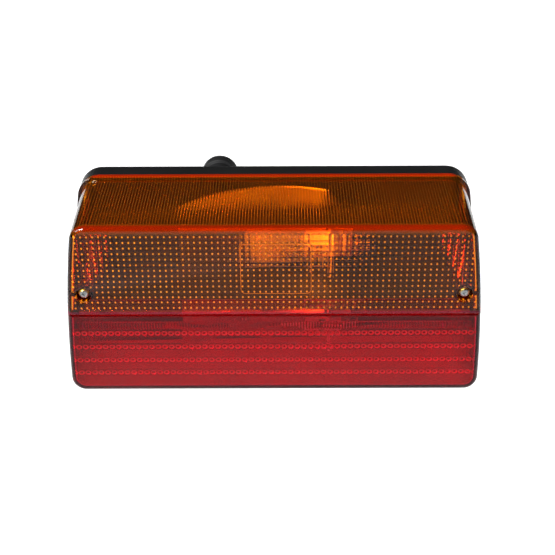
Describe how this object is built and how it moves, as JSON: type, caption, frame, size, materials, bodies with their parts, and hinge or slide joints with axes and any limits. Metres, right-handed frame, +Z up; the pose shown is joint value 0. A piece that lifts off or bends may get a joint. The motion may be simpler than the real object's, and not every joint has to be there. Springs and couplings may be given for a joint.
{
  "type": "trailer tail light",
  "caption": "Rectangular trailer rear lamp: amber over red lens on a black tray, with bulbs in sprung bayonet sockets and a rear cable grommet.",
  "frame": {"origin": "middle of the housing's rear mounting face, where it meets the vehicle", "axes": "+X to the right as the lit lens is seen from behind the vehicle, +Y towards the vehicle, out of the mounting face, +Z up"},
  "size_m": [0.24, 0.101, 0.113],
  "materials": {
    "black_plastic": "fine-textured black",
    "amber_plastic": "clear amber, moulded",
    "red_plastic": "clear red, moulded",
    "black_rubber": "matt",
    "zinc_plated_steel": "bright zinc",
    "brass": "satin",
    "bright_metal": "bright reflector",
    "bulb_glass": "clear",
    "tungsten": "dull",
    "brown_phenolic": "satin",
    "yellow_insulation": "satin",
    "red_insulation": "satin",
    "brown_insulation": "satin",
    "white_insulation": "satin"
  },
  "bodies": {
    "housing_body": {"housing": "black_plastic", "lens_seal": "black_rubber", "thread_insert_left": "brass", "thread_insert_right": "brass", "cable_grommet": "black_rubber", "mounting_bolt_left": "zinc_plated_steel", "mounting_bolt_right": "zinc_plated_steel", "mounting_washer_left": "zinc_plated_steel", "mounting_washer_right": "zinc_plated_steel", "mounting_nut_left": "zinc_plated_steel", "mounting_nut_right": "zinc_plated_steel", "indicator_reflector": "bright_metal", "indicator_reflector_screw": "zinc_plated_steel", "indicator_bracket": "zinc_plated_steel", "indicator_bracket_screw": "zinc_plated_steel", "indicator_socket": "zinc_plated_steel", "indicator_socket_end": "brown_phenolic", "indicator_contact_spring": "zinc_plated_steel", "stop_tail_reflector": "bright_metal", "stop_tail_reflector_screw": "zinc_plated_steel", "stop_tail_bracket": "zinc_plated_steel", "stop_tail_bracket_screw": "zinc_plated_steel", "stop_tail_socket": "zinc_plated_steel", "stop_tail_socket_end": "brown_phenolic", "stop_tail_contact_spring": "zinc_plated_steel", "indicator_tab": "brass", "stop_tab": "brass", "tail_tab": "brass", "terminal_strip": "brown_phenolic", "terminal_screw_1": "brass", "terminal_screw_2": "brass", "terminal_screw_3": "brass", "terminal_screw_4": "brass", "indicator_lead": "yellow_insulation", "tail_lead": "brown_insulation", "stop_lead": "red_insulation", "earth_lead": "white_insulation"},
    "lens_body": {"amber_lens": "amber_plastic", "red_lens": "red_plastic"},
    "left_screw_travel": {"screw_seal_left": "black_rubber"},
    "left_screw": {"lens_screw_left": "zinc_plated_steel"},
    "right_screw_travel": {"screw_seal_right": "black_rubber"},
    "right_screw": {"lens_screw_right": "zinc_plated_steel"},
    "indicator_contact": {"indicator_contact_disc": "brown_phenolic"},
    "indicator_bulb": {"indicator_bulb_cap": "brass", "indicator_bulb_glass": "bulb_glass", "indicator_bulb_stem": "bulb_glass", "indicator_filament": "tungsten"},
    "stop_tail_contact": {"stop_tail_contact_disc": "brown_phenolic"},
    "stop_tail_bulb": {"stop_tail_bulb_cap": "brass", "stop_tail_bulb_glass": "bulb_glass", "stop_tail_bulb_stem": "bulb_glass", "stop_filament": "tungsten", "tail_filament": "tungsten"}
  },
  "joints": [
    {"name": "lens_off", "type": "slide", "parent": "housing_body", "child": "lens_body", "axis": [0, -1, 0], "range_m": [0, 0.08]},
    {"name": "indicator_bulb_press", "type": "slide", "parent": "housing_body", "child": "indicator_contact", "axis": [1, 0, 0], "range_m": [0, 0.002], "stiffness_N_per_m": 2500, "springref_m": -0.002, "deforming": ["indicator_contact_spring"]},
    {"name": "indicator_bulb_turn", "type": "hinge", "parent": "indicator_contact", "child": "indicator_bulb", "pos_m": [0.018, -0.0355, 0.0246], "axis": [1, 0, 0], "range_deg": [0, 20]},
    {"name": "stop_tail_bulb_press", "type": "slide", "parent": "housing_body", "child": "stop_tail_contact", "axis": [1, 0, 0], "range_m": [0, 0.002], "stiffness_N_per_m": 2500, "springref_m": -0.002, "deforming": ["stop_tail_contact_spring"]},
    {"name": "stop_tail_bulb_turn", "type": "hinge", "parent": "stop_tail_contact", "child": "stop_tail_bulb", "pos_m": [0.018, -0.0355, -0.02635], "axis": [1, 0, 0], "range_deg": [0, 20]},
    {"name": "left_screw_out", "type": "slide", "parent": "lens_body", "child": "left_screw_travel", "axis": [0, -1, 0], "range_m": [0, 0.008]},
    {"name": "left_screw_turn", "type": "hinge", "parent": "left_screw_travel", "child": "left_screw", "pos_m": [-0.10436, -0.07, 0.01105], "axis": [0, -1, 0], "range_deg": [0, 5760]},
    {"name": "right_screw_out", "type": "slide", "parent": "lens_body", "child": "right_screw_travel", "axis": [0, -1, 0], "range_m": [0, 0.008]},
    {"name": "right_screw_turn", "type": "hinge", "parent": "right_screw_travel", "child": "right_screw", "pos_m": [0.10436, -0.07, 0.01105], "axis": [0, -1, 0], "range_deg": [0, 5760]}
  ]
}
